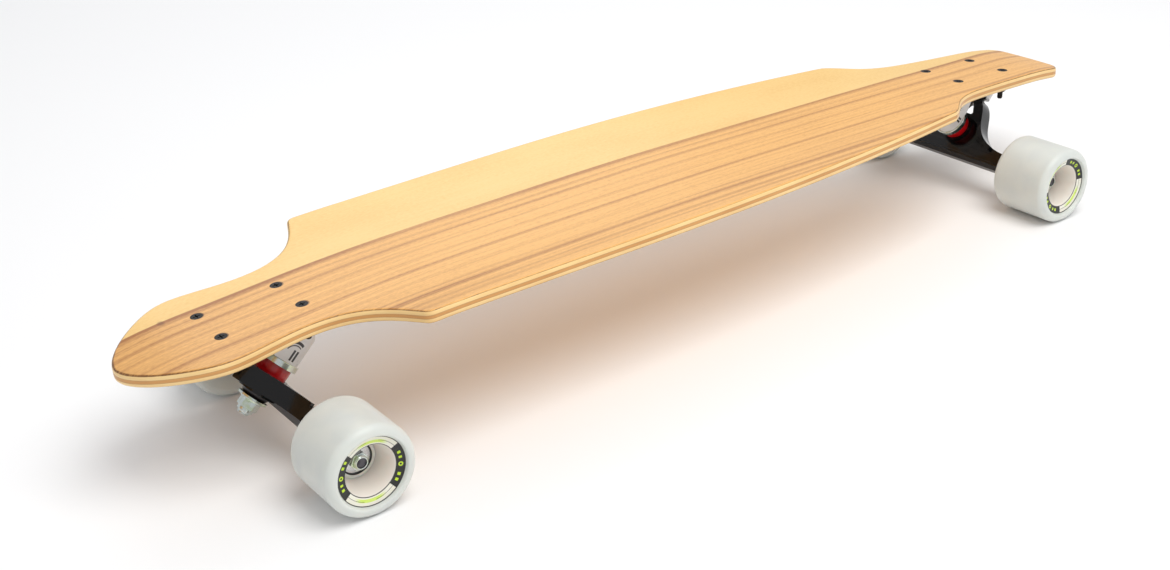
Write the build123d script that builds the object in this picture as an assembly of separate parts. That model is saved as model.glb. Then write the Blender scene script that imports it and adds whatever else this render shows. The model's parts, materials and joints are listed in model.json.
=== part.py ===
"""A 38-inch cut-out longboard with two reverse-kingpin trucks and four soft wheels.

Frame: origin on the ground under the middle of the deck, +X from nose to tail, +Y towards the
pale side of the deck, +Z up. Millimetres. In the node names "left" is -Y, the striped side, and
"right" is +Y. Each truck is drawn in its own frame: u outboard along the deck, v across it, w up
from the underside of the deck at the bolt pattern.
"""

import math
import os

from build123d import *

# ---------------------------------------------------------------- deck
deck_length = 960.0
deck_width = 224.0
nose_overhang = 103.5  # nose tip to the front bolt pattern
tail_overhang = 98.5  # tail tip to the rear bolt pattern
nose_width = 119.0
nose_neck_width = 109.0
tail_neck_width = 97.0
tail_end_width = 82.0
tail_end_bow = 3.0
cutout_corner_radius = 8.0
tail_corner_radius = 17.0
veneer_thickness = 0.8
outer_core_thickness = 2.9
middle_core_thickness = 2.6
edge_round = 2.4
veneer_joint = 26.0  # the lengthwise joint of the two top sheets, from the centre line

# the pressed shape: flat middle, a bend each end, sloping truck platforms, tips rolled down
platform_slope = 3.6  # degrees
platform_half_length = 42.0
bend_radius = 1350.0
tip_roll_radius = 410.0
concave_radius = 530.0
concave_flat_half = 30.0

# ---------------------------------------------------------------- truck mounting
pattern_length = 63.5
inner_pattern_length = 53.8
pattern_width = 41.3
screw_diameter = 4.8
screw_length = 28.5
screw_head_diameter = 9.3
screw_recess_width = 5.2
screw_recess_depth = 1.9
mounting_nut_width = 9.5
mounting_nut_height = 5.2
hole_clearance = 0.1

# ---------------------------------------------------------------- truck
kingpin_angle = 50.0  # steering axis above the deck's plane
ring_drop = 49.0  # underside of the deck to the middle of the hanger's ring
ring_offset = 0.3
axle_reach = 19.8  # ring to axle, down along the steering axis
axle_rake = 4.2
pivot_reach = 41.0  # ring to the centre of the pivot's round nose, up along the steering axis
pivot_radius = 6.5
pivot_neck = 8.0  # the taper below the nose's centre
pivot_clearance = 0.1
cup_wall = 2.5
cup_height = 11.0

base_length = 80.0
base_width = 55.0
base_thickness = 6.5
base_corner_radius = 7.0
boss_radius = 14.5
pivot_boss_radius = 12.0
boss_face_gap = 20.5  # ring centre to the kingpin boss's face

kingpin_diameter = 9.5
kingpin_head_width = 14.3
kingpin_head_height = 6.4
kingpin_boss_depth = 16.0  # boss face to the seat of the kingpin's head
kingpin_nut_width = 14.3
kingpin_nut_height = 11.0
kingpin_tip = 1.6  # past the nut
washer_thickness = 2.0
board_washer_radius = 16.0
washer_rim_height = 3.0
washer_rim_thickness = 1.2
road_washer_radius = 12.0
bushing_radius = 13.2
cone_small_radius = 9.6
road_bushing_height = 10.5

hanger_width = 180.0
beam_flats = 18.0
ring_radius = 15.5
ring_thickness = 13.0
ring_skirt = 4.0  # the ring runs on this far round the road-side bushing
bushing_seat_depth = 2.5
bushing_seat_gap = 0.5
ring_bore_gap = 0.85  # round the kingpin at the narrow middle of the ring
ring_bore_flare = 2.0
web_thickness = 9.0
rim_thickness = 15.0
rim_width = 4.0
washer_relief_radius = 15.0
window_foot_half = 9.5
window_top_half = 3.5
window_top = 28.0  # up the steering axis from the ring
window_corner_radius = 1.8

# ---------------------------------------------------------------- axle, bearings and wheels
axle_diameter = 8.0
axle_length = 244.6
axle_nut_width = 12.7
axle_nut_height = 7.5
bearing_bore_gap = 0.04
bearing_outer_diameter = 22.0
bearing_width = 7.0
inner_race_radius = 6.0
outer_race_inner_radius = 9.4
ball_diameter = 3.97
ball_count = 7
ball_gap = 0.05
shield_thickness = 0.3
spacer_length = 10.0
spacer_radius = 5.1
speed_ring_thickness = 0.8
speed_ring_radius = 6.35

wheel_diameter = 70.0
wheel_width = 59.0
wheel_inner_gap = 9.0  # the wheel's inner face stands this far over the hanger's end
tread_edge_radius = 6.5
print_outer_radius = 26.3
print_inner_radius = 19.8
print_inset = 3.2
print_slope = 1.4
core_radius = 14.5
core_ring_radius = 17.0
core_ring_width = 3.0
core_end_lip = 0.7
core_rib_bore = 7.5

# ---------------------------------------------------------------- worked-out places
overlength = 60.0  # for cutters and bosses that are trimmed to something else
deck_thickness = 2 * veneer_thickness + 2 * outer_core_thickness + middle_core_thickness
wheel_radius = wheel_diameter / 2
slope = math.radians(platform_slope)
front_x = -deck_length / 2 + nose_overhang
rear_x = deck_length / 2 - tail_overhang
half_wheelbase = (rear_x - front_x) / 2
middle_x = (rear_x + front_x) / 2

steer = math.radians(kingpin_angle)
along = (math.cos(steer), math.sin(steer))  # the steering axis, outboard and up, as (u, w)
across = (math.sin(steer), -math.cos(steer))  # the kingpin, outboard and down


def ring_frame_point(reach, depth):
    """(u, w) of a point `reach` up the steering axis and `depth` down the kingpin from the ring."""
    return (
        ring_offset + reach * along[0] + depth * across[0],
        -ring_drop + reach * along[1] + depth * across[1],
    )


axle_u, axle_w = ring_frame_point(-axle_reach, axle_rake)
platform_z = wheel_radius + axle_u * math.sin(slope) - axle_w * math.cos(slope)
bend_drop = bend_radius * (1 - math.cos(slope)) + platform_half_length * math.sin(slope)
deck_underside = platform_z + bend_drop
flat_half = half_wheelbase - platform_half_length * math.cos(slope) - bend_radius * math.sin(slope)

ring_seat = ring_thickness / 2 - bushing_seat_depth
road_washer_seat = ring_seat + road_bushing_height
nut_face = road_washer_seat + washer_thickness

bore_radius = axle_diameter / 2 + bearing_bore_gap
bearing_in = hanger_width / 2 + speed_ring_thickness
bearing_gap_in = bearing_in + bearing_width
bearing_gap_out = bearing_gap_in + spacer_length
bearing_out = bearing_gap_out + bearing_width
nut_seat = bearing_out + speed_ring_thickness
wheel_in = hanger_width / 2 - wheel_inner_gap
wheel_out = wheel_in + wheel_width
pitch_radius = (inner_race_radius + outer_race_inner_radius) / 2


def truck_plane(x, outboard):
    """The truck's own frame: outboard is -1 at the nose and +1 at the tail."""
    return Plane(
        origin=(x, 0, platform_z),
        x_dir=(outboard * math.cos(slope), 0, -math.sin(slope)),
        z_dir=(outboard * math.sin(slope), 0, math.cos(slope)),
    )


def kingpin_plane(depth=0.0):
    """Across the kingpin, `depth` below the ring's middle: sketch x is v, sketch y the steering axis."""
    u, w = ring_frame_point(0, depth)
    return Plane(origin=(u, 0, w), x_dir=(0, 1, 0), z_dir=(across[0], 0, across[1]))


def steering_plane(reach):
    """Across the steering axis, `reach` above the ring's middle."""
    u, w = ring_frame_point(reach, 0)
    return Plane(origin=(u, 0, w), x_dir=(0, 1, 0), z_dir=(along[0], 0, along[1]))


def rod(plane, radius, length):
    return extrude(plane * Circle(radius), length)


def tube(plane, outer, inner, length):
    return extrude(plane * (Circle(outer) - Circle(inner)), length)


def turned(points):
    """A solid of revolution about Z from (radius, height) points."""
    return revolve(make_face(Plane.XZ * Polyline(*points, close=True)), Axis.Z)


def turned_lines(lines):
    """A solid of revolution about Z from lines and arcs drawn as (radius, height)."""
    return revolve(make_face([Plane.XZ * line for line in lines]), Axis.Z)


def hexagon(width, height, chamfered=True):
    """A hexagon prism standing on the XY plane, its corners turned down at the top."""
    corner = width / math.sqrt(3)
    prism = extrude(RegularPolygon(width / 2, 6, major_radius=False), height)
    if not chamfered:
        return prism
    cut = (corner - width / 2) * 0.6
    return prism & turned(
        [(0, 0), (corner, 0), (corner, height - cut), (width / 2 * 0.96, height), (0, height)]
    )


def lock_nut(width, height, bore):
    """A nut with the narrower round collar that holds its locking ring."""
    collar = height * 0.3
    body = hexagon(width, height - collar)
    body += Pos(0, 0, height - collar) * turned(
        [(0, 0), (width * 0.44, 0), (width * 0.44, collar * 0.6), (width * 0.36, collar), (0, collar)]
    )
    return body - Cylinder(bore, height * 3)


# ---------------------------------------------------------------- deck pieces
def deck_outline():
    """The flat outline: rounded nose, neck, wide middle that narrows aft, neck and blunt tail."""
    nose, tail = -deck_length / 2, deck_length / 2
    wide = deck_width / 2
    nose_half, nose_neck = nose_width / 2, nose_neck_width / 2
    tail_neck, tail_half = tail_neck_width / 2, tail_end_width / 2
    aft_corner = wide - 25.5
    nose_side = Spline(
        (nose, 0),
        (nose + 5.5, nose_half * 0.30),
        (nose + 15, nose_half * 0.52),
        (nose + 33.5, nose_half * 0.80),
        (nose + 58, nose_half),
        (nose + 85, nose_half * 0.983),
        (nose + 116, nose_neck),
        (nose + 140, nose_neck + 2),
        (nose + 162, nose_neck + 12.5),
        (nose + 179, nose_neck + 0.58 * (wide - nose_neck)),
        (nose + 189, wide - 2.5),
        tangents=[(0, 1), (0.42, 0.91)],
        tangent_scalars=[1, 1],
    )
    middle = Spline(
        (nose + 189, wide - 2.5),
        (nose + 340, wide),
        (middle_x + 15, wide - 0.5),
        (tail - 348, wide - 7.5),
        (tail - 206, aft_corner),
    )
    tail_side = Spline(
        (tail - 206, aft_corner),
        (tail - 192, tail_neck + 0.76 * (aft_corner - tail_neck)),
        (tail - 176, tail_neck + 0.43 * (aft_corner - tail_neck)),
        (tail - 155, tail_neck + 7),
        (tail - 128, tail_neck + 2.5),
        (tail - 67, tail_neck - 2),
        (tail - tail_end_bow, tail_half),
    )
    end = ThreePointArc((tail - tail_end_bow, tail_half), (tail, 0), (tail - tail_end_bow, -tail_half))
    side = [nose_side, middle, tail_side]
    return make_face(side + [end] + [mirror(line, Plane.XZ) for line in side])


def deck_blank():
    """The outline cut through, with its corners rounded."""
    blank = extrude(outline_face, 2 * overlength)
    cutout_corners = blank.edges().filter_by(Axis.Z).filter_by(
        lambda e: abs(e.center().Y) > deck_width / 4 and abs(e.center().X) < deck_length / 2 - 150
    )
    blank = fillet(cutout_corners, cutout_corner_radius)
    tail_corners = blank.edges().filter_by(Axis.Z).filter_by(
        lambda e: abs(e.center().X - deck_length / 2 + tail_end_bow) < 1 and abs(e.center().Y) > 10
    )
    return Pos(0, 0, platform_z - overlength) * fillet(tail_corners, tail_corner_radius)


def press_path():
    """The deck's underside seen from the side, nose to tail."""
    ramp = 2 * platform_half_length
    flat = Line((0, 0), (flat_half, 0))
    bend = JernArc(flat @ 1, (1, 0), bend_radius, -platform_slope)
    platform_end = bend @ 1 + (bend % 1) * ramp
    platform = Line(bend @ 1, platform_end)
    roll = JernArc(platform @ 1, platform % 1, tip_roll_radius, -13)
    half = [flat, bend, platform, roll]
    half = [(Plane.XZ * line).edge() for line in half]
    other = [mirror(line, Plane.YZ).edge() for line in half]
    return Pos(middle_x, 0, deck_underside) * Wire(other[::-1] + half)


def pressed_layer(low, high):
    """The pressed sheet between two heights above the deck's underside."""
    spread = 11.0  # degrees of the side arcs, past the widest rail
    top = concave_radius + deck_thickness

    def face_line(height):
        side = CenterArc((concave_flat_half, top), top - height, -90, spread)
        flat = Line((-concave_flat_half, height), (concave_flat_half, height))
        return [side, flat, mirror(side, Plane.YZ)], side @ 1

    low_lines, low_end = face_line(low)
    high_lines, high_end = face_line(high)
    right = Line(low_end, high_end)
    section = make_face(low_lines + high_lines + [right, mirror(right, Plane.YZ)])
    heading = path % 0
    sideways = (0, math.copysign(1, heading.X), 0)
    return sweep(Plane(origin=path @ 0, x_dir=sideways, z_dir=heading) * section, path=path)


def pattern_points(length):
    half_l, half_w = length / 2, pattern_width / 2
    return [(su * half_l, sv * half_w) for su in (-1, 1) for sv in (-1, 1)]


def screw_cutter():
    """What a mounting screw takes out of the deck, in the truck's frame."""
    head = screw_head_diameter / 2 + hole_clearance
    shank = screw_diameter / 2 + hole_clearance
    cutter = turned(
        [
            (0, -5),
            (shank, -5),
            (shank, deck_thickness - (head - shank)),
            (head, deck_thickness),
            (head, deck_thickness + 5),
            (0, deck_thickness + 5),
        ]
    )
    return [Pos(u, v, 0) * cutter for u, v in pattern_points(pattern_length)]


def deck_pieces():
    full = pressed_layer(0, deck_thickness) & deck_blank()
    walls = full.faces().filter_by(lambda face: abs(face.normal_at().Z) < 0.5)
    rails = walls.edges().filter_by(lambda edge: abs((edge % 0.5).Z) < 0.9)
    full = fillet(rails, edge_round)
    for plane in (front_truck, rear_truck):
        for cutter in screw_cutter():
            full -= plane * cutter
    heights = [
        ("bottom_veneer", veneer_thickness),
        ("lower_core_ply", outer_core_thickness),
        ("middle_core_ply", middle_core_thickness),
        ("upper_core_ply", outer_core_thickness),
        ("top_veneer", veneer_thickness),
    ]
    pieces = {}
    low = 0.0
    for name, thickness in heights:
        pieces[name] = full & pressed_layer(low, low + thickness)
        low += thickness
    top = pieces.pop("top_veneer")
    pale_side = Pos(0, veneer_joint + deck_width, 100) * Box(
        deck_length * 1.2, 2 * deck_width, 200
    )
    pieces["top_veneer_pale"] = top & pale_side
    pieces["top_veneer_striped"] = top - pale_side
    return pieces


# ---------------------------------------------------------------- truck pieces, in the truck's frame
def pivot_nose(gap=0.0):
    """The hanger's round pivot nose, or the space for it, `gap` larger."""
    radius = pivot_radius + gap
    flat_tip = 1.5
    nose = [
        Polyline((0, radius - flat_tip), (0, -pivot_neck), (radius + 2.5, -pivot_neck), (radius, 0)),
        CenterArc((flat_tip, 0), radius - flat_tip, 0, 90),
        Line((flat_tip, radius - flat_tip), (0, radius - flat_tip)),
    ]
    return steering_plane(pivot_reach).location * turned_lines(nose)


def baseplate():
    slab = extrude(Rectangle(base_length, base_width), -base_thickness)
    slab = fillet(slab.edges().filter_by(Axis.Z), base_corner_radius)
    slab = chamfer(slab.faces().sort_by(Axis.Z)[0].edges(), 1.2)

    # kingpin boss: round below the kingpin, straight sides up to the slab
    boss = rod(kingpin_plane(-boss_face_gap), boss_radius, -overlength)
    face_mid = ring_frame_point(0, -boss_face_gap)
    face_top = ring_frame_point(boss_radius, -boss_face_gap)
    far_mid = ring_frame_point(0, -boss_face_gap - overlength)
    in_slab, slab_end = (3, -base_thickness / 2), (-base_length / 2, 0)
    side = Polyline(face_mid, face_top, in_slab, slab_end, far_mid, close=True)
    wedge = make_face(Plane.XZ * side)
    boss += extrude(wedge, boss_radius, both=True)
    keep = Pos(0, 0, -50) * Box(base_length, base_width, 100)
    boss &= keep

    # pivot boss round the steering axis
    cup_mouth = pivot_reach - 2.5
    pivot_boss = rod(steering_plane(cup_mouth), pivot_boss_radius, overlength)
    pivot_boss &= Pos(base_length / 4 + 3, 0, -50) * Box(base_length / 2 + 6, base_width, 100)
    body = slab + boss + pivot_boss

    body -= rod(steering_plane(cup_mouth - 1), pivot_radius + cup_wall, cup_height + 1)
    shank = kingpin_diameter / 2 + hole_clearance
    body -= rod(kingpin_plane(-boss_face_gap + 1), shank, -kingpin_boss_depth - 2)
    pocket = hexagon(kingpin_head_width + 4 * hole_clearance, overlength, chamfered=False)
    seat = kingpin_plane(-boss_face_gap - kingpin_boss_depth)
    body -= seat.location * (Rot(180, 0, 0) * pocket)
    hole = screw_diameter / 2 + hole_clearance
    near_holes = [(u, v) for u, v in pattern_points(inner_pattern_length) if u > 0]
    shift = (pattern_length - inner_pattern_length) / 2
    spots = pattern_points(pattern_length) + [(u - shift, v) for u, v in near_holes]
    for u, v in spots:
        body -= Pos(u, v, -base_thickness / 2) * Cylinder(hole, base_thickness * 2)
    return body


def pivot_cup():
    cup = rod(steering_plane(pivot_reach - 2.5), pivot_radius + cup_wall, cup_height)
    return cup - pivot_nose(pivot_clearance)


def mounting_screw():
    """Countersunk screw, head up, its head flush with the deck."""
    head, shank = screw_head_diameter / 2, screw_diameter / 2
    body = turned(
        [
            (0, deck_thickness - screw_length),
            (shank - 0.5, deck_thickness - screw_length),
            (shank, deck_thickness - screw_length + 0.7),
            (shank, deck_thickness - (head - shank)),
            (head, deck_thickness),
            (0, deck_thickness),
        ]
    )
    slot = Box(screw_recess_width, 1.0, 2 * screw_recess_depth)
    cross = slot + Rot(0, 0, 90) * slot
    return body - Pos(0, 0, deck_thickness) * cross


def mounting_screws():
    return [Pos(u, v, 0) * mounting_screw() for u, v in pattern_points(pattern_length)]


def mounting_nuts():
    nut = Rot(180, 0, 0) * lock_nut(
        mounting_nut_width, mounting_nut_height, screw_diameter / 2 + hole_clearance / 2
    )
    return [Pos(u, v, -base_thickness) * nut for u, v in pattern_points(pattern_length)]


def kingpin():
    seat = -boss_face_gap - kingpin_boss_depth
    length = nut_face + kingpin_nut_height + kingpin_tip - seat
    plane = kingpin_plane(seat)
    head = Rot(180, 0, 0) * hexagon(kingpin_head_width, kingpin_head_height)
    shank_radius = kingpin_diameter / 2
    shank = turned(
        [(0, 0), (shank_radius, 0), (shank_radius, length - 1), (shank_radius - 1, length), (0, length)]
    )
    return plane.location * (head + shank)


def kingpin_nut():
    flange_height = 1.8
    nut = lock_nut(kingpin_nut_width, kingpin_nut_height, kingpin_diameter / 2 + hole_clearance / 2)
    flange = turned(
        [
            (kingpin_diameter / 2 + hole_clearance / 2, 0),
            (kingpin_nut_width * 0.66, 0),
            (kingpin_nut_width * 0.64, flange_height / 2),
            (kingpin_nut_width * 0.52, flange_height),
            (kingpin_diameter / 2 + hole_clearance / 2, flange_height),
        ]
    )
    return kingpin_plane(nut_face).location * (nut + flange)


def cup_washers():
    bore = kingpin_diameter / 2 + hole_clearance
    plate = tube(Plane.XY, board_washer_radius, bore, washer_thickness)
    rim = Pos(0, 0, washer_thickness) * tube(
        Plane.XY, board_washer_radius, board_washer_radius - washer_rim_thickness, washer_rim_height
    )
    board_side = fillet((plate + rim).faces().sort_by(Axis.Z)[0].outer_wire().edges(), 0.8)
    road_side = tube(Plane.XY, road_washer_radius, bore, washer_thickness)
    road_side = chamfer(road_side.faces().sort_by(Axis.Z)[-1].outer_wire().edges(), 0.5)
    return [
        kingpin_plane(-boss_face_gap).location * board_side,
        kingpin_plane(road_washer_seat).location * road_side,
    ]


def board_side_bushing():
    height = boss_face_gap - washer_thickness - ring_seat
    barrel = rod(Plane.XY, bushing_radius, height)
    barrel = fillet(barrel.edges(), 1.0) - Cylinder(kingpin_diameter / 2 + hole_clearance, 100)
    return kingpin_plane(-ring_seat - height).location * barrel


def road_side_bushing():
    shoulder = 3.0
    bore = kingpin_diameter / 2 + hole_clearance
    cone = turned(
        [
            (bore, 0),
            (bushing_radius, 0),
            (bushing_radius, shoulder),
            (cone_small_radius, road_bushing_height),
            (bore, road_bushing_height),
        ]
    )
    return kingpin_plane(ring_seat).location * cone


def arm_edge():
    """The hollow curve from the top of the beam's end up to the pivot's neck."""
    end = hanger_width / 2 - 14
    top = -axle_reach + beam_flats / 2 - 1
    middle = [(52, -10.2), (39.5, -4.8), (31.5, 1.8), (26.5, 9), (21.5, 19.6)]
    return Spline((end, top), *middle, (11, pivot_reach - pivot_neck))


def hanger_outline():
    """The A shape across the kingpin: straight beam edge below, hollow-curved arms up to the pivot."""
    arm = arm_edge()
    low = -axle_reach - beam_flats / 2 + 3
    foot = Vector((arm @ 0).X, low)
    neck = Vector(0, (arm @ 1).Y)
    right = [Line((0, low), foot), Line(foot, arm @ 0), arm, Line(arm @ 1, neck)]
    return make_face(right + [mirror(line, Plane.YZ) for line in right])


def arm_rims():
    """The thicker flange along both arms, as flat faces."""
    whole = arm_edge()
    outer = whole.trim(0.3, 1)
    inner = []
    for step in range(7):
        heading = outer % (step / 6)
        inner.append(outer @ (step / 6) + Vector(heading.Y, -heading.X) * -rim_width)
    inner_edge = Spline(*inner)
    ends = [Line(outer @ 0, inner_edge @ 0), Line(outer @ 1, inner_edge @ 1)]
    right = make_face([outer, inner_edge] + ends)
    return [right, mirror(right, Plane.YZ)]


def hanger():
    plane = kingpin_plane()
    outline = hanger_outline()
    web = extrude(plane * outline, web_thickness / 2, both=True)
    rims = [extrude(plane * rim, rim_thickness / 2, both=True) for rim in arm_rims()]
    beam_end = Plane(
        origin=(axle_u, -hanger_width / 2, axle_w),
        x_dir=(across[0], 0, across[1]),
        z_dir=(0, 1, 0),
    )
    octagon = Rot(0, 0, 22.5) * RegularPolygon(beam_flats / 2, 8, major_radius=False)
    beam = extrude(beam_end * octagon, hanger_width)
    ring = rod(kingpin_plane(-ring_thickness / 2), ring_radius, ring_thickness + ring_skirt)
    body = web + rims + beam + ring + pivot_nose()

    sill = ring_radius + 0.8
    foot_left, foot_right = (-window_foot_half, sill), (window_foot_half, sill)
    top_right, top_left = (window_top_half, window_top), (-window_top_half, window_top)
    window = make_face(Polyline(foot_left, foot_right, top_right, top_left, close=True))
    window = fillet(window.vertices(), window_corner_radius)
    body -= extrude(plane * window, overlength, both=True)
    waist = kingpin_diameter / 2 + ring_bore_gap
    mouth = waist + ring_bore_flare
    bore = turned(
        [
            (0, -overlength),
            (mouth, -overlength),
            (mouth, -ring_seat),
            (waist, 0),
            (mouth, ring_seat),
            (mouth, overlength),
            (0, overlength),
        ]
    )
    body -= plane.location * bore
    seat_radius = bushing_radius + bushing_seat_gap
    body -= rod(kingpin_plane(ring_seat), seat_radius, overlength)
    body -= rod(kingpin_plane(-ring_seat), seat_radius, -overlength)
    body -= rod(kingpin_plane(ring_thickness / 2 + ring_skirt), washer_relief_radius, overlength)
    body -= rod(axle_plane(-hanger_width / 2 - 1), axle_diameter / 2, hanger_width + 2)
    return body


def axle_plane(v):
    return Plane(origin=(axle_u, v, axle_w), x_dir=(1, 0, 0), z_dir=(0, 1, 0))


def axle():
    body = rod(axle_plane(-axle_length / 2), axle_diameter / 2, axle_length)
    return chamfer(body.edges(), 0.6)


def both_sides(piece):
    """A piece drawn on the +v end of the axle, and its mirror image on the other."""
    return [piece, mirror(piece, Plane.XZ)]


def speed_rings():
    rings = []
    for start in (hanger_width / 2, bearing_out):
        rings += both_sides(tube(axle_plane(start), speed_ring_radius, bore_radius, speed_ring_thickness))
    return rings


def axle_nuts():
    nut = axle_plane(nut_seat).location * lock_nut(axle_nut_width, axle_nut_height, bore_radius)
    return both_sides(nut)


def ball_groove():
    return Torus(pitch_radius, ball_diameter / 2 + ball_gap)


def inner_races():
    races = []
    for start in (bearing_in, bearing_gap_out):
        race = tube(Plane.XY, inner_race_radius, bore_radius, bearing_width)
        race -= Pos(0, 0, bearing_width / 2) * ball_groove()
        races += both_sides(axle_plane(start).location * race)
    return races


def bearing_spacers():
    return both_sides(tube(axle_plane(bearing_gap_in), spacer_radius, bore_radius, spacer_length))


# ---------------------------------------------------------------- wheel pieces, about Z
def wheel_tyre():
    """Soft wheel: rounded tread edges, a printed band each side, a deep cone to the bearings."""
    side = tread_edge_radius
    crest = wheel_radius - side
    cone_out = bearing_out + core_end_lip
    cone_in = bearing_in - core_end_lip
    mouth = bearing_outer_diameter / 2 + 1.0
    profile = [
        Line((core_radius, cone_in), (core_radius, cone_out)),
        Line((core_radius, cone_out), (mouth + 4, cone_out + 6)),
        Line((mouth + 4, cone_out + 6), (print_inner_radius, wheel_out - print_inset - print_slope)),
        Line(
            (print_inner_radius, wheel_out - print_inset - print_slope),
            (print_outer_radius, wheel_out - print_inset),
        ),
        Line((print_outer_radius, wheel_out - print_inset), (crest - 1.0, wheel_out - 0.4)),
        ThreePointArc(
            (crest - 1.0, wheel_out - 0.4),
            (crest - 0.45, wheel_out - 0.1),
            (crest, wheel_out),
        ),
        ThreePointArc(
            (crest, wheel_out),
            (crest + side * math.sin(math.pi / 4), wheel_out - side * (1 - math.cos(math.pi / 4))),
            (wheel_radius, wheel_out - side),
        ),
        Line((wheel_radius, wheel_out - side), (wheel_radius, wheel_in + side)),
        ThreePointArc(
            (wheel_radius, wheel_in + side),
            (crest + side * math.sin(math.pi / 4), wheel_in + side * (1 - math.cos(math.pi / 4))),
            (crest, wheel_in),
        ),
        Line((crest, wheel_in), (print_outer_radius, wheel_in + 1.2)),
        Line((print_outer_radius, wheel_in + 1.2), (mouth + 4, cone_in - 2)),
        Line((mouth + 4, cone_in - 2), (core_radius, cone_in)),
    ]
    return turned_lines(profile) - core_blank()


def core_blank():
    """The outside of the moulded core: a barrel with two gripping rings."""
    length = bearing_out - bearing_in + 2 * core_end_lip
    body = Pos(0, 0, bearing_in - core_end_lip) * rod(Plane.XY, core_radius, length)
    for height in (bearing_in + bearing_width / 2, bearing_out - bearing_width / 2):
        body += Pos(0, 0, height - core_ring_width / 2) * rod(Plane.XY, core_ring_radius, core_ring_width)
    return body


def wheel_core():
    seat = bearing_outer_diameter / 2
    body = core_blank()
    body -= Pos(0, 0, bearing_in - 2) * rod(Plane.XY, core_rib_bore, spacer_length + 2 * bearing_width + 4)
    body -= Pos(0, 0, bearing_in - 2) * rod(Plane.XY, seat, bearing_width + 2)
    return body - Pos(0, 0, bearing_gap_out) * rod(Plane.XY, seat, bearing_width + 2)


def outer_races():
    races = []
    for start in (bearing_in, bearing_gap_out):
        race = tube(Plane.XY, bearing_outer_diameter / 2, outer_race_inner_radius, bearing_width)
        race -= Pos(0, 0, bearing_width / 2) * ball_groove()
        races.append(Pos(0, 0, start) * race)
    return races


def bearing_shields():
    shield = tube(Plane.XY, outer_race_inner_radius, inner_race_radius + 0.3, shield_thickness)
    inset = 0.3
    starts = []
    for start in (bearing_in, bearing_gap_out):
        starts += [start + inset, start + bearing_width - inset - shield_thickness]
    return [Pos(0, 0, height) * shield for height in starts]


def bearing_balls():
    balls = []
    for start in (bearing_in, bearing_gap_out):
        for turn in range(ball_count):
            spot = Rot(0, 0, turn * 360 / ball_count) * Pos(pitch_radius, 0, start + bearing_width / 2)
            balls.append(spot * Sphere(ball_diameter / 2))
    return balls


wheel_nodes = {
    "wheel_tyre": wheel_tyre,
    "wheel_core": wheel_core,
    "outer_races": outer_races,
    "bearing_shields": bearing_shields,
    "bearing_balls": bearing_balls,
}

truck_nodes = {
    "baseplate": baseplate,
    "pivot_cup": pivot_cup,
    "mounting_screws": mounting_screws,
    "mounting_nuts": mounting_nuts,
    "kingpin": kingpin,
    "kingpin_nut": kingpin_nut,
    "cup_washers": cup_washers,
    "board_side_bushing": board_side_bushing,
    "road_side_bushing": road_side_bushing,
    "hanger": hanger,
    "axle": axle,
    "axle_nuts": axle_nuts,
    "speed_rings": speed_rings,
    "inner_races": inner_races,
    "bearing_spacers": bearing_spacers,
}


# ---------------------------------------------------------------- the whole board
def save(name, solids):
    """One STEP file for a node: one solid, or a group of like solids."""
    group = solids if isinstance(solids, list) else [solids]
    solid_list = [solid for piece in group for solid in piece.solids()]
    node = solid_list[0] if len(solid_list) == 1 else Compound(children=solid_list)
    export_step(node, f"parts/{name}.step")


front_truck = truck_plane(front_x, -1)
rear_truck = truck_plane(rear_x, 1)
outline_face = deck_outline()
path = press_path()

os.makedirs("parts", exist_ok=True)
for name, piece in deck_pieces().items():
    save(name, piece)

for node, make in truck_nodes.items():
    made = make()
    group = made if isinstance(made, list) else [made]
    for end, plane in (("front", front_truck), ("rear", rear_truck)):
        save(f"{end}_{node}", [plane.location * piece for piece in group])

for node, make in wheel_nodes.items():
    made = make()
    group = made if isinstance(made, list) else [made]
    for end, plane in (("front", front_truck), ("rear", rear_truck)):
        for side, hand in (("left", -1), ("right", 1)):
            centre = plane.location * Pos(axle_u, 0, axle_w)
            upright = Pos(*centre.position) * Rot(-90 * hand, 0, 0)
            save(f"{end}_{side}_{node}", [upright * piece for piece in group])
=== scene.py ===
# %% [markdown]
# # A cut-out longboard
#
# The CAD model already has every solid in its place: the pressed deck, two trucks and four wheels.
# This notebook gives each of them its finish, replaces the four bushings with newly turned ones,
# and adds the small turned details. Then it sets up a plain floor, soft light and a camera.

import json
import math

import bmesh
import bpy
from mathutils import Matrix, Vector


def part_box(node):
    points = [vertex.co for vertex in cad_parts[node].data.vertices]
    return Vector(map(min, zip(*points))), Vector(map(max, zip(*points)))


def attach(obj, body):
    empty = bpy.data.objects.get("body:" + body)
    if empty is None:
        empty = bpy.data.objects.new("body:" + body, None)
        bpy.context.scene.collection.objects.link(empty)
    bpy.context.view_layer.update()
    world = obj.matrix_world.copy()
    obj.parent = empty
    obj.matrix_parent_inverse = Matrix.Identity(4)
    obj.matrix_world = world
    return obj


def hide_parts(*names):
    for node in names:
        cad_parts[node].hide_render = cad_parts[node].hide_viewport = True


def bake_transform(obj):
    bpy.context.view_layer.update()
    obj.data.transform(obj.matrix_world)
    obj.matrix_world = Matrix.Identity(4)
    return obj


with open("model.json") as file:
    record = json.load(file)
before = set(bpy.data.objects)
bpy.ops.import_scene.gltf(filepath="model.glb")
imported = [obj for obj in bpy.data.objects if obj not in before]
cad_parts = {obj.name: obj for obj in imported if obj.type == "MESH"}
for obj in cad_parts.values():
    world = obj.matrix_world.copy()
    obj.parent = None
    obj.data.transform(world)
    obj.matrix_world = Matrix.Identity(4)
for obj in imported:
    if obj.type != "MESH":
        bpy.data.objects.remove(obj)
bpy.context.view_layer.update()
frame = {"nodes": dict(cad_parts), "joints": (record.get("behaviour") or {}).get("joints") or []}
nodes = frame["nodes"]

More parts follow.
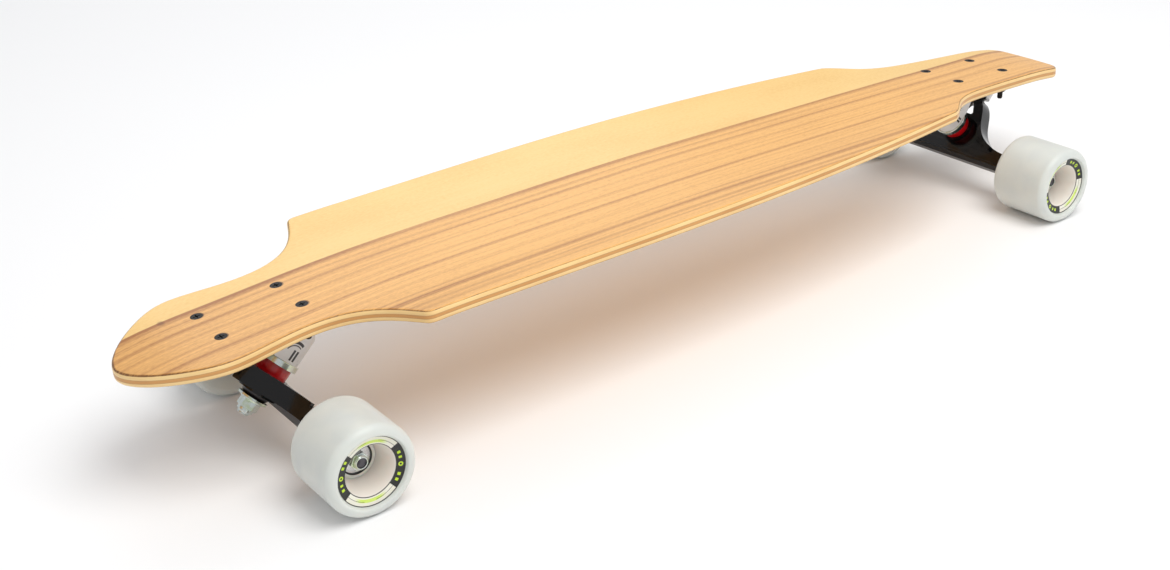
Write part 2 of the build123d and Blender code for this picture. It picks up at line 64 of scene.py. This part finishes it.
# %% [markdown]
# ## A small language for finishes
#
# A finish is a node tree. Wiring a tree by hand is slow to read, so a socket is wrapped in a class
# that understands + - * /, and one method adds any other node. Colours go through Mix nodes,
# because a Math node would turn them grey.

# %% Wrap sockets
MM = 0.001


def linear(red, green, blue):
    """A colour picked on screen, 0 to 255, as the linear values that a shader takes."""
    shares = [level / 255 for level in (red, green, blue)]
    return (*[c / 12.92 if c <= 0.04045 else ((c + 0.055) / 1.055) ** 2.4 for c in shares], 1.0)


class Value:
    """One number that varies over a surface."""

    def __init__(self, finish, socket):
        self.finish, self.socket = finish, socket

    def _math(self, operation, *others):
        return self.finish.node("ShaderNodeMath", {"operation": operation}, [self, *others])

    def __add__(self, other):
        return self._math("ADD", other)

    def __sub__(self, other):
        return self._math("SUBTRACT", other)

    def __mul__(self, other):
        return self._math("MULTIPLY", other)

    def __truediv__(self, other):
        return self._math("DIVIDE", other)

    def __rsub__(self, other):
        return self.finish.node("ShaderNodeMath", {"operation": "SUBTRACT"}, [other, self])

    __radd__ = __add__
    __rmul__ = __mul__

    def size(self):
        return self._math("ABSOLUTE")

    def at_least(self, other):
        return self._math("MAXIMUM", other)

    def at_most(self, other):
        return self._math("MINIMUM", other)

    def power(self, exponent):
        return self._math("POWER", exponent)

    def above(self, low, high):
        """0 under low and 1 over high, with a smooth step between."""
        step = {"interpolation_type": "SMOOTHSTEP"}
        return self.finish.node("ShaderNodeMapRange", step, [self, low, high, 0.0, 1.0])

    def near(self, place, half_width, soft=0.35):
        """1 where the value is within half_width of place, softly 0 outside."""
        return 1 - (self - place).size().above(half_width * (1 - soft), half_width * (1 + soft))

    def between(self, low, high, soft):
        return self.above(low - soft, low + soft) * (1 - self.above(high - soft, high + soft))


class Finish:
    """A material with a Principled shader whose varying sockets are fed by expressions."""

    def __init__(self, name, **constants):
        self.material = bpy.data.materials.new(name)
        self.material.use_nodes = True
        self.tree = self.material.node_tree
        self.shader = self.tree.nodes["Principled BSDF"]
        for words, value in constants.items():
            self.shader.inputs[words.replace("_", " ").title().replace("Ior", "IOR")].default_value = value
        self.place = self.node("ShaderNodeTexCoord", {}, [], "Object")

    def node(self, kind, settings=None, inputs=(), output=0):
        """Adds a node, sets it up, feeds its inputs by order or by name and returns one output."""
        made = self.tree.nodes.new(kind)
        for key, setting in (settings or {}).items():
            if key == "stops":
                ramp = made.color_ramp
                ramp.interpolation = settings.get("curve", "LINEAR")
                for index, (where, colour) in enumerate(setting):
                    stop = ramp.elements[index] if index < 2 else ramp.elements.new(where)
                    stop.position, stop.color = where, colour
            elif key != "curve":
                setattr(made, key, setting)
        pairs = inputs.items() if isinstance(inputs, dict) else enumerate(inputs)
        for key, fed in pairs:
            if isinstance(fed, Value):
                self.tree.links.new(fed.socket, made.inputs[key])
            else:
                made.inputs[key].default_value = fed
        return Value(self, made.outputs[output])

    def axes(self):
        """The x, y and z of the surface, in metres, in the row frame."""
        split = self.tree.nodes.new("ShaderNodeSeparateXYZ")
        self.tree.links.new(self.place.socket, split.inputs[0])
        return [Value(self, split.outputs[index]) for index in range(3)]

    def point(self, x, y, z):
        return self.node("ShaderNodeCombineXYZ", {}, [x, y, z])

    def noise(self, vector, scale, detail=2.0, rough=0.5):
        words = {"Vector": vector, "Scale": scale, "Detail": detail, "Roughness": rough}
        return self.node("ShaderNodeTexNoise", {}, words, "Fac")

    def mix(self, amount, first, second):
        """A colour that goes from first to second as amount goes from 0 to 1."""
        settings = {"data_type": "RGBA", "blend_type": "MIX"}
        return self.node("ShaderNodeMix", settings, {0: amount, 6: first, 7: second}, 2)

    def ramp(self, amount, stops, curve="LINEAR"):
        return self.node("ShaderNodeValToRGB", {"stops": stops, "curve": curve}, [amount])

    def feed(self, **sockets):
        for words, value in sockets.items():
            name = words.replace("_", " ").title()
            self.tree.links.new(value.socket, self.shader.inputs[name])
        return self

    def bump(self, height, depth, strength=1.0):
        """Feeds the normal: depth is how far the height of 1 stands out, in metres."""
        words = {"Height": height, "Distance": depth, "Strength": strength}
        self.tree.links.new(self.node("ShaderNodeBump", {}, words).socket, self.shader.inputs["Normal"])
        return self


def dress(finish, *names):
    """Puts a finish on CAD nodes or on new pieces."""
    for name in names:
        piece = nodes.get(name) or bpy.data.objects[name]
        piece.data.materials.clear()
        piece.data.materials.append(finish.material)


# %% [markdown]
# ## The deck
#
# The top is two sheets of wood under clear lacquer: a plain pale one, and a tan one with dark
# lengthwise stripes. Real grain is never ruled straight, so one slow bow along the board and a
# little noise move the whole pattern sideways. The stripes themselves are one colour ramp read
# across the board, and two stretched noises add the fine lines and the pores between them.

# %% The grain that both top sheets share
HALF_LENGTH = 480 * MM
PATTERN_HALF_WIDTH = 120 * MM
BOW_REACH = 40 * MM
# along the board and sideways shift of the grain, mm
GRAIN_BOW = [
    (-480, -5), (-300, -2), (-200, 1), (0, 1), (100, -4), (230, -12), (310, -15), (400, -9), (480, 0),
]
# across the board at its middle, mm: place, half width, darkness
STRIPES = [
    (-98, 2.5, 0.55), (-90, 3.0, 0.6), (-77, 4.0, 1.0), (-69, 2.5, 0.55), (-52, 2.5, 0.25),
    (-33, 2.6, 0.85), (-18, 2.0, 0.3), (-3, 2.2, 0.4), (13, 2.8, 0.85), (23, 2.0, 0.45), (34, 3.4, 1.0),
]
JOINT_LINE = 37 * MM
FRONT_TRUCK, REAR_TRUCK = -376.5 * MM, 381.5 * MM
BOARD_MIDDLE = (FRONT_TRUCK + REAR_TRUCK) / 2
BOLT_X, BOLT_Y = 31.75 * MM, 20.65 * MM
MOST_STOPS = 32  # all that a colour ramp can hold

PALE = linear(241, 202, 130)
PALE_DARK = linear(226, 178, 102)
TAN = linear(238, 182, 106)
TAN_DARK = linear(164, 106, 54)
DARK_BROWN = linear(104, 64, 30)


def grey(level):
    return (level, level, level, 1.0)


def grain_of(finish):
    """How far across the bowed grain a point lies, and the point's x and y."""
    x, y, _ = finish.axes()
    stops = [((along * MM + HALF_LENGTH) / (2 * HALF_LENGTH), grey(0.5 + bow * MM / BOW_REACH))
             for along, bow in GRAIN_BOW]
    bow = (finish.ramp((x + HALF_LENGTH) / (2 * HALF_LENGTH), stops, "B_SPLINE") - 0.5) * BOW_REACH
    drift = (finish.noise(finish.point(x * 3.0, y * 9.0, 0.0), 1.0, 2.0) - 0.5) * (5 * MM)
    return y - bow + drift, x, y


def stripe_stops():
    stops, reach = [], 2 * PATTERN_HALF_WIDTH
    for place, half, dark in STRIPES:
        for offset, level in ((-half * 1.6, 0.0), (0.0, dark), (half * 0.9, 0.0)):
            stops.append(((place + offset) * MM / reach + 0.5, level))
    stops.sort()
    return [(where, grey(level)) for where, level in stops][:MOST_STOPS]


def from_nearest_screw(x, y):
    """Distance from the middle of the nearest mounting screw."""
    from_front, from_rear = (x - FRONT_TRUCK).size(), (x - REAR_TRUCK).size()
    along = from_front.at_most(from_rear) - BOLT_X
    return (along * along + (y.size() - BOLT_Y).power(2.0)).power(0.5)


def top_sheet(name):
    finish = Finish(name, specular_ior_level=0.35, coat_weight=0.12, coat_roughness=0.2)
    across, x, y = grain_of(finish)
    streaks = finish.noise(finish.point(x * 4.0, across * 330.0, 0.0), 1.0, 4.0, 0.6)
    pores = finish.noise(finish.point(x * 90.0, across * 1900.0, 0.0), 1.0, 2.0)
    cloud = finish.noise(finish.point(x * 9.0, y * 22.0, 0.0), 1.0, 3.0)
    speck = finish.noise(finish.point(x * 260.0, across * 900.0, 0.0), 1.0, 2.0)
    fade = finish.noise(finish.point(x * 5.0, across * 40.0, 3.0), 1.0, 2.0) * 0.9 + 0.35
    lines = finish.ramp((across / (2 * PATTERN_HALF_WIDTH)) + 0.5, stripe_stops()) * fade.at_most(1.0)

    pale = finish.mix((cloud - 0.35) * 1.1 + (speck - 0.5) * 1.2 + (streaks - 0.5) * 0.4, PALE, PALE_DARK)
    fibres = (streaks - 0.45) * 1.1 + (speck - 0.5) * 0.7
    # Painted shade: the tan sheet grows darker towards the nose, where less light falls on it.
    painted_nose_shade = (x * -1.0 - 200 * MM).at_least(0.0)
    tan = finish.mix(lines * 0.9 + fibres + (cloud - 0.5) * 0.3 + painted_nose_shade, TAN, TAN_DARK)
    tan = finish.mix(pores.above(0.58, 0.7) * 0.45, tan, TAN_DARK)
    on_pale = across.above(JOINT_LINE - 0.8 * MM, JOINT_LINE + 0.4 * MM)
    wood = finish.mix(on_pale, tan, pale)

    knot = ((x + 432 * MM) / 2.8).power(2.0) + ((y - 31 * MM + (cloud - 0.5) * (6 * MM)) / 3.6).power(2.0)
    wood = finish.mix((1 - knot.above(0.0, 1.6 * MM * MM)) * 0.55, wood, DARK_BROWN)
    away = from_nearest_screw(x, y)
    wood = finish.mix((1 - away.above(4.7 * MM, 5.3 * MM)) * 0.8, wood, DARK_BROWN)
    # Painted shade: the wood is darkened, with a speckled edge, where its surface tips away from straight up
    # on the rounded rim.
    normal = finish.node("ShaderNodeNewGeometry", {}, [], "Normal")
    upward = finish.node("ShaderNodeSeparateXYZ", {}, [normal], 2)
    painted_rim_shade = (1 - upward.above(0.82, 0.955)) * ((speck - 0.5) * 1.6 + 0.85).at_most(1.0)
    wood = finish.mix(painted_rim_shade, wood, DARK_BROWN)
    finish.feed(base_color=wood, roughness=streaks * 0.16 + speck * 0.12 + 0.2)
    return finish.bump(streaks * 0.7 + pores * 0.3, 0.12 * MM, 0.5)


dress(top_sheet("pale_veneer"), "top_veneer_pale")
dress(top_sheet("striped_veneer"), "top_veneer_striped")

# %% [markdown]
# The edge of the deck shows the plies: cream, tan, cream, with a thin glue line between them. The
# press bent all of them alike, so the depth below the top face tells one layer from the next. The
# depth is worked out in the shader from the same bends that the CAD press has.

# %% The layered edge
DECK_TOP = 116.49 * MM
SLOPE = math.radians(3.6)
HALF_WHEELBASE, HALF_PLATFORM = 379 * MM, 42 * MM
BEND_RADIUS, TIP_RADIUS, CONCAVE_RADIUS = 1350 * MM, 410 * MM, 530 * MM
CONCAVE_START = 30 * MM
BEND_LENGTH = BEND_RADIUS * math.sin(SLOPE)
PLATFORM_LENGTH = 2 * HALF_PLATFORM * math.cos(SLOPE)
FLAT_HALF = HALF_WHEELBASE - PLATFORM_LENGTH / 2 - BEND_LENGTH
GLUE_LINES = (0.8, 3.7, 6.3, 9.2)


def ply_depth(x, y, z):
    """Metres below the deck's top face."""
    out = (x - BOARD_MIDDLE).size() - FLAT_HALF
    bend = out.at_least(0.0).at_most(BEND_LENGTH).power(2.0) / (2 * BEND_RADIUS)
    platform = (out - BEND_LENGTH).at_least(0.0) * math.tan(SLOPE)
    tip = (out - BEND_LENGTH - PLATFORM_LENGTH).at_least(0.0).power(2.0) / (2 * TIP_RADIUS)
    rise = (y.size() - CONCAVE_START).at_least(0.0).power(2.0) / (2 * CONCAVE_RADIUS)
    return DECK_TOP - bend - platform - tip + rise - z


def ply(name, light, dark):
    finish = Finish(name, roughness=0.42, coat_weight=0.12, coat_roughness=0.25)
    x, y, z = finish.axes()
    depth = ply_depth(x, y, z)
    fibre = finish.noise(finish.point(x * 60.0, y * 60.0, z * 1400.0), 1.0, 3.0, 0.6)
    blotch = finish.noise(finish.point(x * 25.0, y * 25.0, z * 40.0), 1.0, 2.0)
    wood = finish.mix((fibre - 0.45) * 0.9 + (blotch - 0.5) * 0.9 + 0.15, light, dark)
    glue = None
    for line in GLUE_LINES:
        seam = depth.near(line * MM, 0.14 * MM)
        glue = seam if glue is None else glue + seam
    finish.feed(base_color=finish.mix(glue * 0.5, wood, DARK_BROWN))
    return finish.bump(fibre, 0.08 * MM, 0.5)


dress(ply("pale_core", linear(247, 212, 148), linear(226, 174, 102)), "upper_core_ply", "lower_core_ply")
dress(ply("tan_core", linear(214, 156, 88), linear(186, 126, 64)), "middle_core_ply")
dress(ply("bottom_sheet", linear(232, 184, 118), linear(204, 148, 84)), "bottom_veneer")

# %% [markdown]
# ## The trucks
#
# Each truck mixes four finishes: satin white powder coat on the baseplate, gloss black on the
# hanger, bright zinc on the kingpin's hardware, and black oxide on the screws. Powder coat has an
# orange-peel ripple about a millimetre across, and zinc plate takes on faint yellow and green tints.

# %% Paint, plate and steel
ENDS = ("front", "rear")


def of_trucks(*words):
    return [f"{end}_{word}" for end in ENDS for word in words]


def powder_coat(name, colour, roughness, coat, ripple, shine=0.5):
    finish = Finish(name, base_color=colour, specular_ior_level=shine, coat_weight=coat, coat_roughness=0.08)
    peel = finish.noise(finish.place, 900.0, 2.0)
    handled = finish.noise(finish.place, 60.0, 3.0)
    finish.feed(roughness=handled * 0.2 + (roughness - 0.1))
    return finish.bump(peel, ripple, 0.6)


def plated(name, colour, tint, roughness):
    finish = Finish(name, metallic=1.0)
    patch = finish.noise(finish.place, 140.0, 2.0)
    scratch = finish.noise(finish.place, 1500.0, 3.0)
    finish.feed(base_color=finish.mix(patch.above(0.42, 0.7), colour, tint),
                roughness=scratch * 0.14 + (roughness - 0.06))
    return finish.bump(scratch, 0.02 * MM, 0.4)


dress(powder_coat("gloss_black_paint", linear(6, 5, 6), 0.2, 0.3, 0.03 * MM, 0.25), *of_trucks("hanger"))
dress(plated("bright_zinc", linear(214, 222, 220), linear(196, 206, 176), 0.2),
      *of_trucks("kingpin_nut", "cup_washers", "axle_nuts", "kingpin"))
dress(plated("bearing_steel", linear(196, 196, 198), linear(176, 176, 180), 0.22),
      *of_trucks("inner_races", "speed_rings", "bearing_spacers"))
dress(plated("axle_steel", linear(92, 90, 94), linear(60, 56, 62), 0.34), *of_trucks("axle"))
dress(powder_coat("black_oxide", linear(16, 14, 13), 0.45, 0.0, 0.02 * MM, 0.3),
      *of_trucks("mounting_screws", "mounting_nuts"))
dress(powder_coat("cup_plastic", linear(22, 22, 23), 0.5, 0.0, 0.03 * MM), *of_trucks("pivot_cup"))

# %% [markdown]
# Each steering joint of the CAD model runs through the middle of the hanger's ring. That point, the
# joint's axis and the kingpin at right angles to it are all that is needed to place a detail on a
# truck, so they are read from the joints rather than typed in again.

# %% Truck frames
truck = {}
for joint in frame["joints"]:
    if joint["name"].endswith("_steer"):
        ring, steering = Vector(joint["pos_m"]), Vector(joint["axis"])
        kingpin = Vector((math.copysign(steering.z, steering.x), 0, -abs(steering.x)))
        truck[joint["name"].split("_")[0]] = (ring, steering, kingpin)
print({end: tuple(round(v, 4) for v in parts[2]) for end, parts in truck.items()})


CASTING_WHITE = linear(226, 224, 222)
MARK_UP, MARK_ALONG = 27.5 * MM, 2 * MM  # from the ring to the middle of the printed mark
BOSS_SIDE = 14.5 * MM


def white_casting(name, end):
    """White powder coat with a plain printed mark, two arcs and two bars, on each side of the boss."""
    finish = powder_coat(name, CASTING_WHITE, 0.3, 0.3, 0.05 * MM)
    ring, steering, kingpin = truck[end]
    x, y, z = finish.axes()
    centre = ring - kingpin * MARK_UP + steering * MARK_ALONG
    right = (x - centre.x) * (-kingpin.x) + (z - centre.z) * (-kingpin.z)
    up = (x - centre.x) * steering.x + (z - centre.z) * steering.z
    away = (right * right + up * up).power(0.5)
    swing = finish.node("ShaderNodeMath", {"operation": "ARCTAN2"}, [up, right])
    arcs = away.between(8.4 * MM, 10.6 * MM, 0.12 * MM) + away.between(6.6 * MM, 7.5 * MM, 0.12 * MM)
    arcs = arcs * swing.between(-0.5, 1.3, 0.03)
    bars = up.between(-1.0 * MM, 0.9 * MM, 0.1 * MM) + up.between(-4.0 * MM, -2.1 * MM, 0.1 * MM)
    bars = bars * right.between(-5.0 * MM, 3.6 * MM, 0.1 * MM)
    on_side = y.size().near(BOSS_SIDE, 0.25 * MM)
    ink = ((arcs + bars) * on_side).at_most(1.0)
    finish.feed(base_color=finish.mix(ink, CASTING_WHITE, linear(34, 32, 34)))
    return finish


for end in ENDS:
    dress(white_casting(f"{end}_baseplate_white", end), f"{end}_baseplate")

# %% [markdown]
# ## Turned bushings
#
# Two bushings, a red one above the hanger's ring and a dark one below it, are squeezed between the
# kingpin's washers, which stay with the board, and the hanger, which steers. A rigid bushing would
# cut through one of them. Each is turned again here as a closed profile spun round the kingpin, in
# place of the CAD bushing, which is hidden.

# %% Turn pieces
def turned(name, profile, origin, axis, steps=72):
    """A closed profile of (radius, height) pairs in mm spun round axis, with height from origin."""
    shape = bmesh.new()
    rim = [shape.verts.new((radius * MM, 0, height * MM)) for radius, height in profile]
    lines = [shape.edges.new((rim[i - 1], rim[i])) for i in range(len(rim))]
    bmesh.ops.spin(shape, geom=rim + lines, cent=(0, 0, 0), axis=(0, 0, 1),
                   angle=2 * math.pi, steps=steps, use_merge=True)
    bmesh.ops.remove_doubles(shape, verts=shape.verts, dist=1e-6)
    bmesh.ops.recalc_face_normals(shape, faces=shape.faces)
    return placed(name, shape, origin, axis)


def placed(name, shape, origin, axis):
    """Stands a finished shape on origin with its z along axis and makes it a smooth piece."""
    turn = Vector((0, 0, 1)).rotation_difference(axis).to_matrix().to_4x4()
    bmesh.ops.transform(shape, matrix=Matrix.Translation(origin) @ turn, verts=shape.verts)
    mesh = bpy.data.meshes.new(name)
    shape.to_mesh(mesh)
    shape.free()
    mesh.shade_smooth()
    mesh.set_sharp_from_angle(angle=math.radians(35))
    piece = bpy.data.objects.new(name, mesh)
    bpy.context.scene.collection.objects.link(piece)
    return piece


def reach_along(node, origin, axis):
    """How far a CAD node runs along axis, measured from origin, in mm."""
    runs = [(vertex.co - origin).dot(axis) / MM for vertex in nodes[node].data.vertices]
    return min(runs), max(runs)


BORE, BARREL, CONE_TIP = 4.9, 13.2, 9.6
red_rubber = Finish("red_urethane", roughness=0.28, coat_weight=0.5, coat_roughness=0.1,
                    subsurface_weight=0.2, subsurface_scale=0.004)
mottle = red_rubber.noise(red_rubber.place, 220.0, 2.0)
red_rubber.feed(base_color=red_rubber.mix(mottle, linear(222, 8, 22), linear(186, 4, 14)))
red_rubber.bump(mottle, 0.03 * MM, 0.5)
# The road-side bushing is drawn dark as painted shade: it sits in the shadow under the hanger's ring, and
# its own colour is not known.
dark_rubber = powder_coat("dark_urethane", linear(24, 18, 18), 0.4, 0.1, 0.03 * MM)

for end in ENDS:
    ring, steering, kingpin = truck[end]
    for side in ("board_side", "road_side"):
        node = f"{end}_{side}_bushing"
        low, high = reach_along(node, ring, kingpin)
        tall = high - low
        if side == "board_side":  # a barrel, its flank swollen a little between rolled edges
            flank = [(BARREL - 1.2, 0), (BARREL - 0.35, 0.35), (BARREL - 0.1, 1.2), (BARREL, tall * 0.5),
                     (BARREL - 0.1, tall - 1.2), (BARREL - 0.35, tall - 0.35), (BARREL - 1.2, tall)]
        else:  # a cone on a short shoulder
            flank = [(BARREL - 0.8, 0), (BARREL - 0.1, 0.7), (BARREL - 0.1, 2.6), (BARREL - 0.6, 3.6),
                     (CONE_TIP + 1.4, tall - 2.4), (CONE_TIP + 0.1, tall - 0.7), (CONE_TIP - 0.7, tall)]
        rows = [(BORE, 0)] + flank + [(BORE, tall), (BORE, tall * 0.66), (BORE, tall * 0.33)]
        piece = turned(f"{end}_{side}_rubber", rows, ring + kingpin * (low * MM), kingpin)
        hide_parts(node)
        dress(red_rubber if side == "board_side" else dark_rubber, piece.name)
        near, far = (low, high) if side == "board_side" else (high, low)
        ring + kingpin * (near * MM)
        ring + kingpin * (far * MM)
        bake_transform(piece)
        print(piece.name, "stands", round(tall, 1), "mm tall")

# %% [markdown]
# ## Threads
#
# A thread is one small triangle swept along a helix. Blender's spin does that when each step also
# moves a little along the axis. Only the ends that show past the nuts get one.

# %% Cut threads
PLATFORM_Z = 101.19 * MM
STEPS_PER_TURN = 20


def helix(shape, middle, radius, start, length, pitch, depth):
    """Adds a closed helical ridge, mm, round the z axis through middle."""
    turns = length / pitch
    corners = [(radius - 0.1, 0.0), (radius + depth, pitch * 0.4), (radius - 0.1, pitch * 0.8)]
    tri = [shape.verts.new((middle[0] + r * MM, middle[1], (start + h) * MM)) for r, h in corners]
    lines = [shape.edges.new((tri[i - 1], tri[i])) for i in range(3)]
    steps = max(3, round(turns * STEPS_PER_TURN))
    made = bmesh.ops.spin(shape, geom=tri + lines, cent=(middle[0], middle[1], 0), axis=(0, 0, 1),
                          dvec=(0, 0, length * MM / steps), angle=2 * math.pi * turns, steps=steps)
    last = [v for v in made["geom_last"] if isinstance(v, bmesh.types.BMVert)]
    shape.faces.new(tri)
    shape.faces.new(last)


black_steel = powder_coat("black_thread", linear(30, 28, 28), 0.4, 0.1, 0.02 * MM)
for end, truck_x, outboard in (("front", FRONT_TRUCK, -1), ("rear", REAR_TRUCK, 1)):
    upright = Vector((outboard * math.sin(SLOPE), 0, math.cos(SLOPE)))
    origin = Vector((truck_x, 0, PLATFORM_Z))
    low, _ = reach_along(f"{end}_mounting_screws", origin, upright)
    nut_low, _ = reach_along(f"{end}_mounting_nuts", origin, upright)
    shape = bmesh.new()
    for along in (-BOLT_X, BOLT_X):
        for across in (-BOLT_Y, BOLT_Y):
            helix(shape, (along, across), 2.4, low + 0.6, nut_low - low - 0.6, 0.9, 0.28)
    bmesh.ops.recalc_face_normals(shape, faces=shape.faces)
    threads = placed(f"{end}_screw_threads", shape, origin, upright)
    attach(threads, "board")
    dress(black_steel, threads.name)

    ring, steering, kingpin = truck[end]
    _, tip = reach_along(f"{end}_kingpin", ring, kingpin)
    _, nut_face = reach_along(f"{end}_kingpin_nut", ring, kingpin)
    shape = bmesh.new()
    helix(shape, (0, 0), 4.4, nut_face - 0.6, tip - nut_face - 0.1, 1.2, 0.35)
    bmesh.ops.recalc_face_normals(shape, faces=shape.faces)
    threads = placed(f"{end}_kingpin_thread", shape, ring, kingpin)
    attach(threads, "board")
    dress(plated(f"{end}_thread_zinc", linear(206, 212, 210), linear(180, 184, 160), 0.26), threads.name)
    print(end, "screws show", round(nut_low - low, 1), "mm of thread")

# %% [markdown]
# ## The wheels
#
# The tyres are frosted urethane: light goes in, scatters and comes out soft, which is what
# Subsurface does. The printed band on the outer face is drawn by radius and angle round each
# wheel's own middle. Two black arcs carry plain bars and a dot in place of any lettering.

# %% Frosted urethane with a printed band
FROST = linear(212, 214, 208)
FROST_DEEP = linear(196, 201, 200)
CREAM = linear(234, 231, 218)
LIME = linear(204, 232, 40)
NEAR_BLACK = linear(20, 20, 18)
RECESS = linear(236, 229, 220)
PRINT_OUT, PRINT_IN = 26.1 * MM, 20.0 * MM
wheels = {"front_left": -0.15, "front_right": 0.4, "rear_left": 0.75, "rear_right": -0.5}


def about_axle(finish, wheel):
    """Distance from the wheel's axle and the angle round it."""
    low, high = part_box(f"{wheel}_wheel_tyre")
    x, y, z = finish.axes()
    right, up = x - (low.x + high.x) / 2, z - (low.z + high.z) / 2
    away = (right * right + up * up).power(0.5)
    return away, finish.node("ShaderNodeMath", {"operation": "ARCTAN2"}, [up, right]), y.size()


def folded(finish, angle, turn):
    """The angle from the nearer end of the line at turn: the pattern repeats on the other side."""
    half_turns = (angle - turn) / math.pi
    whole = finish.node("ShaderNodeMath", {"operation": "ROUND"}, [half_turns])
    return (half_turns - whole) * math.pi


def tyre(wheel, turn):
    finish = Finish(f"{wheel}_frosted", roughness=0.4, subsurface_weight=0.75, subsurface_scale=0.012,
                    subsurface_radius=(0.9, 1.0, 1.0), coat_weight=0.12, coat_roughness=0.3)
    away, angle, reach = about_axle(finish, wheel)
    swing = folded(finish, angle, turn)
    cloud = finish.noise(finish.place, 45.0, 2.0)
    body = finish.mix((cloud - 0.4) * 1.5, FROST, FROST_DEEP)
    outer_side = reach.above(131 * MM, 132 * MM)
    body = finish.mix((1 - away.above(19.6 * MM, 20.0 * MM)) * reach.above(100 * MM, 102 * MM), body, RECESS)

    soft = 0.08 * MM
    band = away.between(PRINT_IN, PRINT_OUT, soft) * outer_side
    arc = swing.size().near(0.0, 0.72, 0.012)
    gap = 1 - arc
    printed = finish.mix(band, body, CREAM)
    beside = (swing.size() - math.pi / 2).size()
    crescent = gap * away.between(21.2 * MM, 23.6 * MM, soft * 2) * (1 - beside.above(0.3, 0.62)) * band
    printed = finish.mix(crescent * 0.8, printed, LIME)
    rings = away.near(PRINT_OUT, 0.3 * MM) + away.near(PRINT_IN, 0.28 * MM)
    thin = gap * away.near(23.0 * MM, 0.14 * MM) * beside.above(0.18, 0.22)
    black = (arc * band + rings * outer_side + thin * outer_side * band).at_most(1.0)
    printed = finish.mix(black, printed, NEAR_BLACK)
    dot = (swing * swing * (23.0 * 23.0) + ((away / MM) - 23.0).power(2.0)).power(0.5)
    mark = dot.near(0.0, 1.75, 0.08) - dot.near(0.0, 0.8, 0.1)
    bars = finish.node("ShaderNodeMath", {"operation": "SINE"}, [swing * 34.0]).above(-0.15, 0.15)
    bars = bars * away.between(21.9 * MM, 24.2 * MM, soft) * swing.size().between(0.2, 0.55, 0.01)
    printed = finish.mix(((mark + bars) * arc * band).at_most(1.0) * 0.95, printed, LIME)
    scuff = finish.noise(finish.place, 420.0, 3.0)
    finish.feed(base_color=printed, roughness=scuff * 0.14 + 0.33 - band * 0.08)
    return finish.bump(scuff, 0.03 * MM, 0.5)


def hub(wheel):
    finish = Finish(f"{wheel}_hub", roughness=0.35, subsurface_weight=0.4, subsurface_scale=0.006)
    away, _, _ = about_axle(finish, wheel)
    grain = finish.noise(finish.place, 300.0, 2.0)
    # Painted shade: a black ring on the hub round the bearing, in the gap where the bearing sits in its
    # seat.
    painted_seat_shade = 1 - away.above(12.1 * MM, 12.35 * MM)
    shell = finish.mix(grain * 0.5, RECESS, linear(200, 188, 172))
    finish.feed(base_color=finish.mix(painted_seat_shade, shell, NEAR_BLACK))
    return finish.bump(grain, 0.02 * MM, 0.4)


race_steel = plated("race_steel", linear(206, 206, 208), linear(186, 186, 190), 0.2)
shield_sheet = plated("shield_sheet", linear(214, 214, 216), linear(200, 202, 206), 0.26)
for wheel, turn in wheels.items():
    dress(tyre(wheel, turn), f"{wheel}_wheel_tyre")
    dress(hub(wheel), f"{wheel}_wheel_core")
    dress(race_steel, f"{wheel}_outer_races", f"{wheel}_bearing_balls")
    dress(shield_sheet, f"{wheel}_bearing_shields")

# %% [markdown]
# ## Floor, light and camera
#
# The board stands on a plain pale floor. One wide, soft lamp above its near side lights the edge of
# the deck and keeps the shadow under it, a weak one fills in from the far side, and an even sky does
# the rest. The camera is a long lens held low.

# %% Floor
shape = bmesh.new()
bmesh.ops.create_grid(shape, x_segments=1, y_segments=1, size=6.0)
bmesh.ops.recalc_face_normals(shape, faces=shape.faces)
floor = placed("floor", shape, Vector((0, 0, 0)), Vector((0, 0, 1)))
paper = Finish("pale_floor", roughness=0.7)
patchy = paper.noise(paper.place, 0.8, 1.0)
paper.feed(base_color=paper.mix(patchy, linear(250, 250, 250), linear(247, 247, 248)))
dress(paper, "floor")

# %% Lamps and sky
scene = bpy.context.scene
scene.view_settings.view_transform = "Standard"


def soft_lamp(name, place, aim, width, watts, colour=(1.0, 1.0, 1.0)):
    data = bpy.data.lights.new(name, "AREA")
    data.shape, data.size, data.size_y = "RECTANGLE", width, width
    data.energy, data.color = watts, colour
    lamp = bpy.data.objects.new(name, data)
    lamp.location = place
    lamp.rotation_euler = (Vector(aim) - Vector(place)).to_track_quat("-Z", "Y").to_euler()
    scene.collection.objects.link(lamp)


soft_lamp("window", (0.15, -0.95, 2.0), (0.0, 0.0, 0.0), 1.5, 31.0, (1.0, 0.99, 0.97))
soft_lamp("card", (0.6, 1.6, 1.6), (0.0, 0.0, 0.1), 1.5, 8.0)
sky = bpy.data.worlds.new("sky")
sky.use_nodes = True
sky.node_tree.nodes["Background"].inputs["Color"].default_value = (0.97, 0.98, 1.0, 1.0)
sky.node_tree.nodes["Background"].inputs["Strength"].default_value = 0.62
scene.world = sky

# %% Camera
IMAGE_WIDTH, SENSOR = 1170, 36.0
FOCAL_PIXELS = 1587.4
VIEWPOINT = (-0.7677, -0.9783, 0.6175)
HEADING, DOWN, ROLL = 0.94379, 0.43271, -0.04994
data = bpy.data.cameras.new("camera")
data.sensor_width, data.lens = SENSOR, FOCAL_PIXELS / IMAGE_WIDTH * SENSOR
data.shift_x, data.shift_y = -20.5 / IMAGE_WIDTH, -36.5 / IMAGE_WIDTH
data.clip_start = 0.01
ahead = Vector((math.cos(DOWN) * math.cos(HEADING), math.cos(DOWN) * math.sin(HEADING), -math.sin(DOWN)))
right = ahead.cross(Vector((0, 0, 1))).normalized()
up = right.cross(ahead)
right, up = math.cos(ROLL) * right + math.sin(ROLL) * up, math.cos(ROLL) * up - math.sin(ROLL) * right
camera = bpy.data.objects.new("camera", data)
camera.matrix_world = Matrix.Translation(VIEWPOINT) @ Matrix((right, up, -ahead)).transposed().to_4x4()
scene.collection.objects.link(camera)
scene.camera = camera
